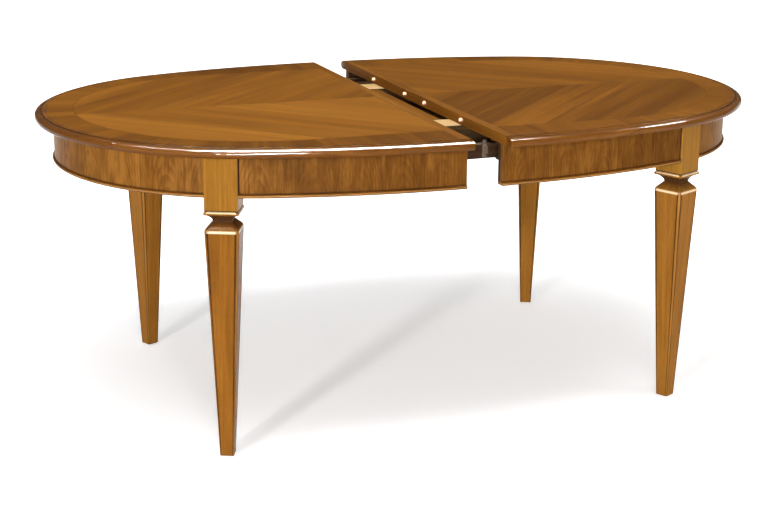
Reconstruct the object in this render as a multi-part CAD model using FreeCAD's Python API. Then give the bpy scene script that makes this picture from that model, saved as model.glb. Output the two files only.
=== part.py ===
import FreeCAD, Part
import math
import os

# Oval extending dining table whose top parts in the middle.
# Frame: origin on the floor under the middle of the table, +X along the length and
# the direction in which the halves draw apart, +Y to the back, +Z up.  Millimetres.
# Pieces are drawn with the table closed, for the right or back side, then mirrored
# and moved out by half of the opening at rest.

V = FreeCAD.Vector
ORIGIN = V(0, 0, 0)
X_AXIS = V(1, 0, 0)
Y_AXIS = V(0, 1, 0)
Z_AXIS = V(0, 0, 1)

# ---- driving dimensions -------------------------------------------------------
table_length = 1800.0        # closed
table_width = 1200.0
table_height = 760.0
side_swell = 50.0            # middle of a side stands this much further out than the end radius
opening_at_rest = 90.0       # width of the gap between the halves
full_opening = 450.0         # width of the gap with the slides drawn right out

top_thickness = 24.0
moulding_width = 30.0        # solid wood edge round the veneered panel
quirk_inset = 18.0           # step on the top, measured in from the rim
quirk_depth = 1.2
nose_height = 12.0           # widest point of the nose above the underside, and its curl below
nose_radius = 8.0            # tight upper part of the nose

edging_depth = 22.0          # solid edging of the cut edges
apron_inset = 45.0           # apron face, measured in from the rim
apron_thickness = 25.0
apron_depth = 90.0
bead_height = 9.0            # moulding glued under the apron
bead_proud = 5.0

leg_turn = 25.0              # degrees from +Y round the end arc
block_side = 78.0
block_proud = 3.0            # leg block stands out from the apron face
block_drop = 130.0           # block length below the top
block_round = 1.5
groove_height = 2.0
groove_depth = 2.0
plinth_height = 8.0
plinth_proud = 2.0
plinth_round = 3.5           # its upper and lower arrises
cove_height = 14.5
cove_sag = 2.5               # hollow of the cove from its chord
neck_side = 44.0
neck_height = 2.5
shoulder_height = 18.0       # slope between the neck and the shaft, to its unrounded corner
shoulder_round = 10.0
shaft_cap = 6.0              # from that corner down to the start of the taper
shaft_top_side = 80.0
shaft_foot_side = 33.0
bead_top_radius = 6.0        # rounded arris of the shaft, at its top
bead_foot_radius = 2.4
quirk_top_width = 2.2        # groove beside each arris
quirk_foot_width = 1.0
shaft_quirk_share = 0.8      # groove depth over groove width
glide_radius = 11.0
glide_height = 2.5
glide_round = 0.8

brace_thickness = 25.0       # wood left behind the leg
brace_half_length = 115.0
brace_height = 42.0
brace_gap = 5.0              # brace above the lower edge of the bead moulding
bolt_radius = 4.0
bolt_bite = 30.0             # length inside the leg
bolt_tail = 6.0              # thread left beyond the nut
bolt_spacing = 22.0
nut_flats = 13.0
nut_height = 6.5
washer_radius = 8.5
washer_height = 1.6

slide_leg_gap = 22.0         # outer runner to the nearest corner of a leg block
slide_width = 40.0
slide_height = 44.0
slide_play = 0.5             # running clearance on every sliding face
slide_overhang = 150.0       # runner past the edge of its own half
tongue_depth = 10.0
tongue_root = 12.0
tongue_tip = 18.0
core_length = 750.0
core_drop = 1.0              # middle runner reaches this much lower
lug_length = 20.0
lug_height = 3.0
lug_reach = 15.0
dog_length = 12.0
dog_width = 24.0
dog_height = 6.0
dog_setback = 2.5            # dog from the edge of its runner
stop_gap = 0.2

batten_width = 40.0
batten_height = 36.0
batten_end_inset = 210.0     # batten's outer edge, measured in from the end of the top
seam_batten_start = 80.0     # clear of the lip when the table is closed
lip_reach = 69.0             # board that carries the far half at the seam
lip_hold = 160.0
lip_thickness = 14.0
lip_side_gap = 5.0

board_thickness = 5.0        # board that closes the seam from below
board_gap = 1.0              # under the stop dogs
board_hold = 160.0           # under the left half
board_reach = 200.0          # past the left half's cut edge
board_side_gap = 8.5         # to the rail guides
bearer_width = 11.0          # strips that carry it, under the left half's runners
bearer_inset = 15.0          # from the board's ends
board_screw_length = 24.0

rail_apron_gap = 45.0        # aligning rails from the apron in the middle of a side
rail_width = 22.0
rail_height = 34.0
rail_drop = 12.0             # below the underside of the top
rail_half_length = 200.0
rail_step = 5.0              # thick end stops short of the cut edge
rail_lead = 15.0             # sloped tip
rail_play = 0.5
guide_start = 30.0
guide_length = 40.0
guide_cheek = 14.0
guide_ledge = 11.5

dowel_radius = 5.0
dowel_proud = 9.0
dowel_dome = 3.0
dowel_shank_radius = 4.0
dowel_collar_radius = 7.0
dowel_collar_depth = 2.0
dowel_depth = 20.0
dowel_edge = 290.0           # outer dowels from the rim
dowel_inner = 70.0           # inner dowels from the centreline
bush_radius = 7.0
bush_depth = 16.0
bush_clearance = 0.4

screw_radius = 2.2
screw_head_radius = 4.6
screw_head_height = 2.6
screw_length = 60.0
screw_edge = 11.0            # from the outer side of the runner
screw_start = 60.0           # first runner screw from the cut edge
screw_end = 50.0             # last one from the batten at the runner's end
rail_screw_places = (40.0, 160.0)
recess_radius = 5.5

catch_place = 73.0           # along the left half's rail, past the cut
strap_width = 10.0
strap_thickness = 2.5
strap_top_gap = 1.0          # under the far half when closed
strap_foot = 1.0             # above the rail's lower edge
strap_screw_places = (7.0, 16.0)  # above the strap's foot
pivot_drop = 20.0            # pivot below the underside of the top
pivot_radius = 2.5
pivot_clearance = 0.1
pivot_head_radius = 5.0
pivot_head_height = 1.8
hook_reach = 16.0            # pivot to keeper pin
hook_width = 15.0
hook_thickness = 3.0
hook_play = 0.6
hook_notch_clearance = 0.6
keeper_pin_radius = 2.2
keeper_width = 12.0
keeper_plate = 2.0
keeper_flange = 16.0
keeper_screw_place = 9.6     # along the flange from the plate
keeper_pin_gap = 1.0
small_screw_radius = 1.5
small_screw_head = 3.2
small_screw_length = 14.0

# ---- worked out from them ------------------------------------------------------
half_length = table_length / 2
half_width = table_width / 2
underside = table_height - top_thickness
end_radius = half_width - side_swell
end_centre = half_length - end_radius
side_radius = (end_centre ** 2 + half_width ** 2 - end_radius ** 2) / (2 * (half_width - end_radius))
side_offset = side_radius - half_width
join_angle = math.degrees(math.atan2(side_offset, end_centre))
apron_bottom = underside - apron_depth
bead_bottom = apron_bottom - bead_height
apron_inside = apron_inset + apron_thickness
leg_circle = end_radius - apron_inset + block_proud - block_side / 2
leg_x = end_centre + leg_circle * math.sin(math.radians(leg_turn))
leg_y = leg_circle * math.cos(math.radians(leg_turn))
block_bottom = underside - block_drop
half_block = block_side / 2
half_opening = opening_at_rest / 2
core_top = underside - slide_play
core_bottom = underside - slide_height - core_drop
slide_bottom = underside - slide_height
slide_axis_z = underside - slide_height / 2
slide_pitch = slide_width + slide_play
leg_reach = half_block * (math.sin(math.radians(leg_turn)) + math.cos(math.radians(leg_turn)))
slide_centre = leg_y - leg_reach - slide_leg_gap - slide_width / 2 - slide_pitch
batten_out = half_length - batten_end_inset
batten_in = batten_out - batten_width
middle_clear = slide_centre - slide_pitch - slide_width / 2 - lip_side_gap
rail_top = underside - rail_drop
rail_bottom = rail_top - rail_height
rail_face = half_width - apron_inside - rail_apron_gap
rail_back = rail_face - rail_width
pivot_z = underside - pivot_drop
board_top = slide_bottom - dog_height - board_gap
board_bottom = board_top - board_thickness
board_side = rail_back - rail_play - guide_cheek - board_side_gap
bearer_y = slide_centre + slide_pitch + slide_width / 2 - bearer_width / 2
dowel_outer = half_width - dowel_edge
dowel_z = underside + top_thickness / 2


# ---- general helpers -----------------------------------------------------------
def box(x0, x1, y0, y1, z0, z1):
    return Part.makeBox(x1 - x0, y1 - y0, z1 - z0, V(x0, y0, z0))


def rod(radius, start, end):
    along = end - start
    return Part.makeCylinder(radius, along.Length, start, along)


def line(a, b):
    return Part.LineSegment(a, b).toShape()


def arc(a, middle, b):
    return Part.Arc(a, middle, b).toShape()


def polygon_face(points):
    return Part.Face(Part.makePolygon(list(points) + [points[0]]))


def joined(shapes):
    whole = shapes[0].fuse(shapes[1:]) if len(shapes) > 1 else shapes[0]
    return whole.removeSplitter()


def one_solid(shape):
    return shape.Solids[0] if len(shape.Solids) == 1 else shape


def mirrored(shape, side_x, side_y):
    """The right, back piece carried to another quarter of the table."""
    if side_x < 0:
        shape = shape.mirror(ORIGIN, X_AXIS)
    if side_y < 0:
        shape = shape.mirror(ORIGIN, Y_AXIS)
    return shape


def circle_point(centre, radius, degrees):
    turn = math.radians(degrees)
    return centre + V(radius * math.cos(turn), radius * math.sin(turn), 0)


def upright_arc(centre, radius, start, stop):
    """Arc in the XZ plane, in degrees from +X towards +Z."""
    turns = [math.radians(degrees) for degrees in (start, (start + stop) / 2, stop)]
    return arc(*[centre + V(radius * math.cos(turn), 0, radius * math.sin(turn)) for turn in turns])


# ---- the oval ------------------------------------------------------------------
END_CENTRE = V(end_centre, 0, 0)
BACK_CENTRE = V(0, -side_offset, 0)
FRONT_CENTRE = V(0, side_offset, 0)
join_sweep = 90 - join_angle
PLAN_ARCS = (
    (BACK_CENTRE, side_radius, join_angle, join_sweep),
    (END_CENTRE, end_radius, -join_angle, 2 * join_angle),
    (FRONT_CENTRE, side_radius, -90, join_sweep),
)


def half_plan(inset):
    """Outline of the right half, parallel to the rim at this inset."""
    edges = []
    for centre, radius, start, sweep in PLAN_ARCS:
        ends = [circle_point(centre, radius - inset, start + sweep * share) for share in (1, 0.5, 0)]
        edges.append(arc(*ends))
    cut = half_width - inset
    edges.append(line(V(0, -cut, 0), V(0, cut, 0)))
    return Part.Face(Part.Wire(Part.__sortEdges__(edges)))


def half_prism(inset, z0, z1):
    plan = half_plan(inset)
    plan.translate(V(0, 0, z0))
    return plan.extrude(V(0, 0, z1 - z0))


def carried_round(profile):
    """A profile drawn with x = -inset and z = height, carried round the right half."""
    pieces = []
    for centre, radius, start, sweep in PLAN_ARCS:
        section = profile.copy()
        section.translate(V(radius, 0, 0))
        piece = section.revolve(ORIGIN, Z_AXIS, sweep)
        piece.rotate(ORIGIN, Z_AXIS, start)
        piece.translate(centre)
        pieces.append(piece)
    return joined(pieces)


# ---- top -----------------------------------------------------------------------
def edge_moulding():
    """Half-round nose with a flatter crown, and a step between the crown and the top."""
    nose_z = underside + nose_height
    shelf_z = table_height - quirk_depth
    rise = shelf_z - nose_z
    flat = quirk_inset - nose_radius
    crown_radius = (flat ** 2 + rise ** 2 - nose_radius ** 2) / (2 * (rise - nose_radius))
    crown_tilt = math.degrees(math.asin(flat / (crown_radius - nose_radius)))
    nose = V(-nose_radius, 0, nose_z)
    crown = V(-quirk_inset, 0, shelf_z - crown_radius)
    curl = V(-nose_height, 0, nose_z)
    shelf = V(-quirk_inset, 0, shelf_z)
    step = V(-quirk_inset, 0, table_height)
    edges = [
        upright_arc(curl, nose_height, -90, 0),
        upright_arc(nose, nose_radius, 0, 90 - crown_tilt),
        upright_arc(crown, crown_radius, 90 - crown_tilt, 90),
        line(shelf, step),
        line(step, V(-moulding_width, 0, table_height)),
        line(V(-moulding_width, 0, table_height), V(-moulding_width, 0, underside)),
        line(V(-moulding_width, 0, underside), V(-nose_height, 0, underside)),
    ]
    return carried_round(Part.Face(Part.Wire(edges)))


def top_panel():
    """Veneered board inside the edge moulding and behind the edging of the cut."""
    board = half_prism(moulding_width, underside, table_height)
    return board.cut(box(0, edging_depth, -half_width, half_width, underside, table_height)).Solids[0]


def cut_edging():
    """Hardwood edging of the cut edge, glued on in four lengths with a dowel place in each."""
    board = half_prism(moulding_width, underside, table_height)
    joint = (dowel_outer + dowel_inner) / 2
    ends = (-half_width, -joint, 0, joint, half_width)
    blanks = [box(0, edging_depth, y0, y1, underside, table_height) for y0, y1 in zip(ends, ends[1:])]
    return [one_solid(board.common(blank)) for blank in blanks]


def dowel_line():
    """Dowel places across the cut edge, front to back."""
    return (-dowel_outer, -dowel_inner, dowel_inner, dowel_outer)


def leaf_dowel(y):
    """Round-nosed pin that stands out of the right half's cut edge, on a flush collar."""
    tip = -dowel_proud
    dome_radius = (dowel_radius ** 2 + dowel_dome ** 2) / (2 * dowel_dome)
    half_turn = math.asin(dowel_radius / dome_radius) / 2
    dome_middle = V(tip + dome_radius * (1 - math.cos(half_turn)), dome_radius * math.sin(half_turn), 0)
    corners = [
        V(tip, 0, 0),
        V(dowel_depth, 0, 0),
        V(dowel_depth, dowel_shank_radius, 0),
        V(dowel_collar_depth, dowel_shank_radius, 0),
        V(dowel_collar_depth, dowel_collar_radius, 0),
        V(0, dowel_collar_radius, 0),
        V(0, dowel_radius, 0),
        V(tip + dowel_dome, dowel_radius, 0),
    ]
    edges = [line(a, b) for a, b in zip(corners, corners[1:])]
    edges.append(arc(corners[-1], dome_middle, corners[0]))
    pin = Part.Face(Part.Wire(edges)).revolve(ORIGIN, X_AXIS, 360)
    pin.translate(V(0, y, dowel_z))
    return pin


def leaf_bush(y):
    """Brass liner of a dowel hole, drawn for a cut edge that faces -X."""
    start = V(0, y, dowel_z)
    end = V(bush_depth, y, dowel_z)
    return rod(bush_radius, start, end).cut(rod(dowel_radius + bush_clearance, start, end))


# ---- fasteners -----------------------------------------------------------------
def countersunk_screw(shank, head, head_height, length):
    """Screw with its head's face at z = 0 and its point up."""
    points = [
        V(0, 0, 0),
        V(head, 0, 0),
        V(shank, 0, head_height),
        V(shank, 0, length),
        V(0, 0, length),
    ]
    return polygon_face(points).revolve(ORIGIN, Z_AXIS, 360)


def wood_screw(x, y, head_z):
    screw = countersunk_screw(screw_radius, screw_head_radius, screw_head_height, screw_length)
    screw.translate(V(x, y, head_z))
    return screw


def hanger_bolt(height):
    """Bolt, nut and washer, drawn at a leg: +Y is outward, the leg's axis is the origin."""
    back = -half_block - brace_thickness
    nut_back = back - washer_height - nut_height
    stud = rod(bolt_radius, V(0, nut_back - bolt_tail, height), V(0, bolt_bite - half_block, height))
    washer = rod(washer_radius, V(0, back - washer_height, height), V(0, back, height))
    corner = nut_flats / math.sqrt(3)
    corners = [
        V(corner * math.cos(math.radians(60 * k)), nut_back, height + corner * math.sin(math.radians(60 * k)))
        for k in range(6)
    ]
    nut = polygon_face(corners).extrude(V(0, nut_height, 0))
    return joined([stud, washer, nut])


# ---- legs ----------------------------------------------------------------------
def beaded_square(side, bead, quirk, z):
    """Square with rounded arrises, each between two V grooves."""
    half = side / 2
    depth = quirk * shaft_quirk_share
    edges = []
    for turn in range(4):
        points = [
            V(half, -(half - bead - quirk), z),
            V(half, half - bead - quirk, z),
            V(half - depth, half - bead - quirk / 2, z),
            V(half, half - bead, z),
            V(half - bead + bead * math.cos(math.pi / 4), half - bead + bead * math.sin(math.pi / 4), z),
            V(half - bead, half, z),
            V(half - bead - quirk / 2, half - depth, z),
            V(half - bead - quirk, half, z),
        ]
        spin = FreeCAD.Rotation(Z_AXIS, 90 * turn)
        a = [spin.multVec(point) for point in points]
        edges += [line(a[0], a[1]), line(a[1], a[2]), line(a[2], a[3])]
        edges += [arc(a[3], a[4], a[5]), line(a[5], a[6]), line(a[6], a[7])]
    return Part.Wire(edges)


def leg_levels():
    """Heights down the leg: groove, plinth, neck top and foot, shoulder, top of the taper."""
    groove = block_bottom - groove_height
    plinth = groove - plinth_height
    neck_top = plinth - cove_height
    neck_foot = neck_top - neck_height
    shoulder = neck_foot - shoulder_height
    return groove, plinth, neck_top, neck_foot, shoulder, shoulder - shaft_cap


def leg_capital():
    """Mitred mouldings between the block and the shoulder."""
    groove, plinth, neck_top, neck_foot, shoulder, shaft_top = leg_levels()
    neck = neck_side / 2
    wide = half_block + plinth_proud
    lip = wide - plinth_round
    slack = plinth_round * (1 - math.sin(math.pi / 4))
    groove_half = half_block - groove_depth
    chord = V(lip - neck, 0, cove_height)
    hollow = V(-chord.z, 0, chord.x).normalize() * cove_sag
    right = [
        line(V(neck, 0, neck_foot), V(neck, 0, neck_top)),
        arc(V(neck, 0, neck_top), V(neck, 0, neck_top) + chord / 2 + hollow, V(lip, 0, plinth)),
        arc(V(lip, 0, plinth), V(wide - slack, 0, plinth + slack), V(wide, 0, plinth + plinth_round)),
        line(V(wide, 0, plinth + plinth_round), V(wide, 0, groove - plinth_round)),
        arc(V(wide, 0, groove - plinth_round), V(wide - slack, 0, groove - slack), V(lip, 0, groove)),
        line(V(lip, 0, groove), V(groove_half, 0, groove)),
        line(V(groove_half, 0, groove), V(groove_half, 0, block_bottom)),
    ]
    left = [edge.mirror(ORIGIN, X_AXIS) for edge in right]
    ends = [
        line(V(-neck, 0, neck_foot), V(neck, 0, neck_foot)),
        line(V(-groove_half, 0, block_bottom), V(groove_half, 0, block_bottom)),
    ]
    profile = Part.Face(Part.Wire(Part.__sortEdges__(right + left + ends)))
    reach = block_side
    profile.translate(V(0, -reach, 0))
    along_y = profile.extrude(V(0, 2 * reach, 0))
    along_x = along_y.copy()
    along_x.rotate(ORIGIN, Z_AXIS, 90)
    return along_y.common(along_x)


def shaft_section(half, z):
    """Section of the shaft's head or shoulder, its beads in proportion."""
    share = half * 2 / shaft_top_side
    return beaded_square(half * 2, bead_top_radius * share, quirk_top_width * share, z)


def leg_shaft():
    """Tapered shaft whose beads run on over a rounded shoulder to the neck."""
    groove, plinth, neck_top, neck_foot, shoulder, shaft_top = leg_levels()
    half = shaft_top_side / 2
    turn = math.atan2(half - neck_side / 2, shoulder_height)
    centre = half - shoulder_round
    centre_z = shoulder - shoulder_round * math.tan(turn / 2)
    steps = [turn * k / 4 for k in range(5)]
    bend = [shaft_section(centre + shoulder_round * math.cos(a), centre_z + shoulder_round * math.sin(a))
            for a in steps]
    foot = beaded_square(shaft_foot_side, bead_foot_radius, quirk_foot_width, glide_height)
    head = shaft_section(half, shaft_top)
    return [
        Part.makeLoft([foot, head], True, True),
        Part.makeLoft([head, bend[0]], True, True),
        Part.makeLoft(bend, True, False),
        Part.makeLoft([bend[-1], shaft_section(neck_side / 2, neck_foot)], True, True),
    ]


def leg_block():
    block = box(-half_block, half_block, -half_block, half_block, block_bottom, underside)
    upright = [edge for edge in block.Edges if abs(edge.BoundBox.ZLength - block_drop) < block_round]
    return block.makeFillet(block_round, upright)


def leg():
    return joined([leg_block(), leg_capital()] + leg_shaft())


def glide():
    edges = [
        line(V(0, 0, 0), V(glide_radius - glide_round, 0, 0)),
        line(V(glide_radius - glide_round, 0, 0), V(glide_radius, 0, glide_round)),
        line(V(glide_radius, 0, glide_round), V(glide_radius, 0, glide_height)),
        line(V(glide_radius, 0, glide_height), V(0, 0, glide_height)),
        line(V(0, 0, glide_height), V(0, 0, 0)),
    ]
    return Part.Face(Part.Wire(edges)).revolve(ORIGIN, Z_AXIS, 360)


def at_leg(shape):
    """From leg coordinates, with +Y outward, to the right back leg's place."""
    shape = shape.copy()
    shape.rotate(ORIGIN, Z_AXIS, -leg_turn)
    shape.translate(V(leg_x, leg_y, 0))
    return shape


def leg_bolts():
    middle = bead_bottom + brace_gap + brace_height / 2
    return [hanger_bolt(middle + side * bolt_spacing / 2) for side in (-1, 1)]


def leg_slots():
    """Spaces that the leg blocks take out of the apron, front and back."""
    reach = apron_inside
    slot = at_leg(box(-half_block, half_block, -half_block - reach, half_block + reach, bead_bottom, underside))
    return [mirrored(slot, 1, side) for side in (-1, 1)]


# ---- apron ---------------------------------------------------------------------
def apron_pieces(ring):
    """The ring without the leg blocks: front, end and back piece."""
    for slot in leg_slots():
        ring = ring.cut(slot)
    return sorted(ring.Solids, key=lambda solid: solid.CenterOfMass.y)


def apron_ring():
    profile = polygon_face([
        V(-apron_inside, 0, apron_bottom),
        V(-apron_inset, 0, apron_bottom),
        V(-apron_inset, 0, underside),
        V(-apron_inside, 0, underside),
    ])
    return carried_round(profile)


def bead_ring():
    radius = bead_height / 2
    start = -apron_inset + bead_proud - radius
    edges = [
        line(V(-apron_inside, 0, bead_bottom), V(start, 0, bead_bottom)),
        arc(V(start, 0, bead_bottom), V(start + radius, 0, bead_bottom + radius), V(start, 0, apron_bottom)),
        line(V(start, 0, apron_bottom), V(-apron_inside, 0, apron_bottom)),
        line(V(-apron_inside, 0, apron_bottom), V(-apron_inside, 0, bead_bottom)),
    ]
    return carried_round(Part.Face(Part.Wire(edges)))


def leg_brace():
    """Glued block behind a leg, shaped to the apron's inner face."""
    low = bead_bottom + brace_gap
    high = low + brace_height
    inner = -half_block - brace_thickness
    blank = at_leg(box(-brace_half_length, brace_half_length, inner, half_block, low, high))
    housed = at_leg(box(-half_block, half_block, -half_block, block_side, low, high))
    brace = blank.common(half_prism(apron_inside, low, high)).cut(housed)
    for bolt in leg_bolts():
        brace = brace.cut(at_leg(bolt))
    return one_solid(brace)


def end_batten():
    low = underside - batten_height
    blank = box(batten_in, batten_out, -half_width, half_width, low, underside)
    return one_solid(blank.common(half_prism(apron_inside, low, underside)))


# ---- slides --------------------------------------------------------------------
def dovetail(face_y, direction, clearance, x0, x1):
    """Dovetail bar standing out of a vertical face, with clearance all round."""
    tip_y = face_y + direction * (tongue_depth + clearance)
    root = tongue_root / 2 + clearance
    tip = tongue_tip / 2 + clearance
    points = [
        V(x0, face_y, slide_axis_z - root),
        V(x0, tip_y, slide_axis_z - tip),
        V(x0, tip_y, slide_axis_z + tip),
        V(x0, face_y, slide_axis_z + root),
    ]
    return polygon_face(points).extrude(V(x1 - x0, 0, 0))


def runner(outward):
    """Fixed runner of the right half, grooved for the tongue of the middle runner.

    It lies on the outer side of the middle runner if outward is 1, and inside if -1.
    """
    x0 = -slide_overhang
    x1 = batten_in
    half = slide_width / 2
    centre_y = slide_centre + outward * slide_pitch
    bar = box(x0, x1, centre_y - half, centre_y + half, slide_bottom, underside)
    return bar.cut(dovetail(slide_centre + outward * half, outward, slide_play, x0, x1))


def core_runner():
    """Middle runner, with a dovetail tongue on each side."""
    x1 = core_length / 2
    half = slide_width / 2
    bar = box(-x1, x1, slide_centre - half, slide_centre + half, core_bottom, core_top)
    tongues = [dovetail(slide_centre + side * half, side, 0, -x1, x1) for side in (-1, 1)]
    return joined([bar] + tongues)


def core_lugs():
    """Steel tongues under the ends of the middle runner, which stop the draw."""
    x1 = core_length / 2
    half = slide_width / 2
    low = core_bottom - lug_height
    left = box(-x1, -x1 + lug_length, slide_centre - half, slide_centre + half + lug_reach, low, core_bottom)
    right = box(x1 - lug_length, x1, slide_centre - half - lug_reach, slide_centre + half, low, core_bottom)
    return Part.makeCompound([left, right])


def runner_dog(outward):
    """Block under a fixed runner that meets the lug of the middle runner."""
    x1 = core_length / 2 - lug_length - full_opening / 2 - stop_gap
    near = slide_centre + outward * (slide_pitch - slide_width / 2 + dog_setback)
    far = near + outward * dog_width
    return box(x1 - dog_length, x1, min(near, far), max(near, far), slide_bottom - dog_height, slide_bottom)


def runner_screws(outward):
    y = slide_centre + outward * (slide_pitch + slide_width / 2 - screw_edge)
    last = batten_in - screw_end
    return [wood_screw(x, y, slide_bottom) for x in (screw_start, (screw_start + last) / 2, last)]


# ---- seam: lip, aligning rails and their guides ----------------------------------
def seam_lip():
    """Board under the left half's cut edge; its tongue carries the right half."""
    low = underside - lip_thickness
    held = box(-lip_hold, 0, -middle_clear, middle_clear, low, underside)
    tongue = box(0, lip_reach, -middle_clear, middle_clear, low, underside - slide_play)
    return joined([held, tongue])


def seam_batten():
    x1 = seam_batten_start + batten_width
    return box(seam_batten_start, x1, -middle_clear, middle_clear, underside - batten_height, underside)


def closing_board():
    """Thin board under the runners, which keeps crumbs and light out of the seam."""
    return box(-board_hold, board_reach, -board_side, board_side, board_bottom, board_top)


def board_bearer():
    """Strip between the board and a runner of the left half, outside the stop dog."""
    half = bearer_width / 2
    x0 = bearer_inset - board_hold
    return box(x0, slide_overhang, bearer_y - half, bearer_y + half, board_top, slide_bottom)


def board_screws():
    """Countersunk screws through the board and the back bearer into the runner."""
    first = bearer_inset * 2 - board_hold
    last = slide_overhang - bearer_inset
    screws = []
    for x in (first, (first + last) / 2, last):
        screw = countersunk_screw(small_screw_radius, small_screw_head, screw_head_height, board_screw_length)
        screw.translate(V(x, bearer_y, board_bottom))
        screws.append(screw)
    return screws


def aligning_rail():
    """Back rail in closed position: thick end under the left half, lowered tongue."""
    tip = rail_half_length
    points = [
        V(-tip, rail_back, rail_bottom),
        V(tip - rail_lead, rail_back, rail_bottom),
        V(tip, rail_back, rail_bottom + rail_lead),
        V(tip, rail_back, rail_top),
        V(-rail_step, rail_back, rail_top),
        V(-rail_step, rail_back, underside),
        V(-tip, rail_back, underside),
    ]
    return polygon_face(points).extrude(V(0, rail_width, 0))


def rail_guide():
    """Right half's bracket: a cheek inside the rail and a ledge under it."""
    cheek_y = rail_back - rail_play
    ledge_z = rail_bottom - rail_play
    low = ledge_z - guide_ledge
    points = [
        V(guide_start, cheek_y - guide_cheek, low),
        V(guide_start, rail_face, low),
        V(guide_start, rail_face, ledge_z),
        V(guide_start, cheek_y, ledge_z),
        V(guide_start, cheek_y, underside),
        V(guide_start, cheek_y - guide_cheek, underside),
    ]
    return polygon_face(points).extrude(V(guide_length, 0, 0))


def guide_screw():
    y = rail_back - rail_play - guide_cheek / 2
    return wood_screw(guide_start + guide_length / 2, y, rail_bottom)


def guide_recess():
    y = rail_back - rail_play - guide_cheek / 2
    x = guide_start + guide_length / 2
    return rod(recess_radius, V(x, y, rail_bottom - rail_play - guide_ledge), V(x, y, rail_bottom))


def rail_screws():
    y = rail_face - rail_width / 2
    return [wood_screw(-place, y, rail_bottom) for place in rail_screw_places]


# ---- catch ---------------------------------------------------------------------
# Drawn in front, at negative Y, in the left half's closed position.
strap_y = -rail_face - strap_thickness
hook_back_y = strap_y - hook_play
hook_front_y = hook_back_y - hook_thickness


def rounded_bar(x, z_low, z_high, width, y0, y1):
    """Flat bar with round ends, thickness along Y."""
    half = width / 2
    edges = [
        line(V(x + half, y0, z_low + half), V(x + half, y0, z_high - half)),
        arc(V(x + half, y0, z_high - half), V(x, y0, z_high), V(x - half, y0, z_high - half)),
        line(V(x - half, y0, z_high - half), V(x - half, y0, z_low + half)),
        arc(V(x - half, y0, z_low + half), V(x, y0, z_low), V(x + half, y0, z_low + half)),
    ]
    return Part.Face(Part.Wire(edges)).extrude(V(0, y1 - y0, 0))


def catch_screws():
    """Countersunk screws through the strap into the rail."""
    screws = []
    for place in strap_screw_places:
        screw = countersunk_screw(small_screw_radius, small_screw_head, strap_thickness, small_screw_length)
        screw.rotate(ORIGIN, X_AXIS, -90)
        screw.translate(V(catch_place, strap_y, rail_bottom + strap_foot + place))
        screws.append(screw)
    return screws


def catch_strap():
    low = rail_bottom + strap_foot
    return rounded_bar(catch_place, low, underside - strap_top_gap, strap_width, -rail_face, strap_y)


def catch_pivot():
    """Rivet through the strap; its head keeps the hook on."""
    head_y = hook_front_y - hook_play
    stem = rod(pivot_radius, V(catch_place, -rail_face, pivot_z), V(catch_place, head_y, pivot_z))
    head = rod(pivot_head_radius, V(catch_place, head_y, pivot_z),
               V(catch_place, head_y - pivot_head_height, pivot_z))
    return joined([stem, head])


def catch_hook():
    """Lever that hangs from the rivet, with a mouth that opens towards +X."""
    half = hook_width / 2
    mouth = keeper_pin_radius + hook_notch_clearance
    eye_z = pivot_z - hook_reach
    body = rounded_bar(catch_place, eye_z - half, pivot_z + half, hook_width, hook_front_y, hook_back_y)
    bore = rod(pivot_radius + pivot_clearance, V(catch_place, hook_front_y, pivot_z),
               V(catch_place, hook_back_y, pivot_z))
    seat = rod(mouth, V(catch_place, hook_front_y, eye_z), V(catch_place, hook_back_y, eye_z))
    slot = box(catch_place, catch_place + hook_width, hook_front_y, hook_back_y, eye_z - mouth, eye_z + mouth)
    return one_solid(body.cut(bore).cut(joined([seat, slot])))


keeper_place = catch_place + hook_reach
keeper_back_y = hook_front_y - hook_play - keeper_pin_gap


def catch_keeper():
    """Bracket under the right half, with the pin that the hook catches."""
    half = keeper_width / 2
    x0 = keeper_place - half
    x1 = keeper_place + half
    front_y = keeper_back_y - keeper_plate
    plate = rounded_bar(keeper_place, pivot_z - half, underside, keeper_width, front_y, keeper_back_y)
    shoulder = box(x0, x1, front_y, keeper_back_y, pivot_z, underside)
    flange = box(x0, x1, front_y - keeper_flange, front_y, underside - keeper_plate, underside)
    pin = rod(keeper_pin_radius, V(keeper_place, keeper_back_y, pivot_z),
              V(keeper_place, hook_back_y + hook_play / 2, pivot_z))
    return joined([plate, shoulder, flange, pin])


def keeper_screws():
    y = keeper_back_y - keeper_plate - keeper_screw_place
    screw = countersunk_screw(small_screw_radius, small_screw_head, keeper_plate, small_screw_length)
    screw.translate(V(keeper_place, y, underside - keeper_plate))
    return [screw]


# ---- the whole table -------------------------------------------------------------
NODES = {}
BODY_SHIFT = {"left": -half_opening, "right": half_opening, "core": 0.0}


def keep(name, body, shape):
    placed = shape.copy()
    placed.translate(V(BODY_SHIFT[body], 0, 0))
    NODES[name] = placed


def without(shape, tools):
    for tool in tools:
        shape = shape.cut(tool)
    return one_solid(shape)


SIDES = (("front", -1), ("back", 1))


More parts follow.
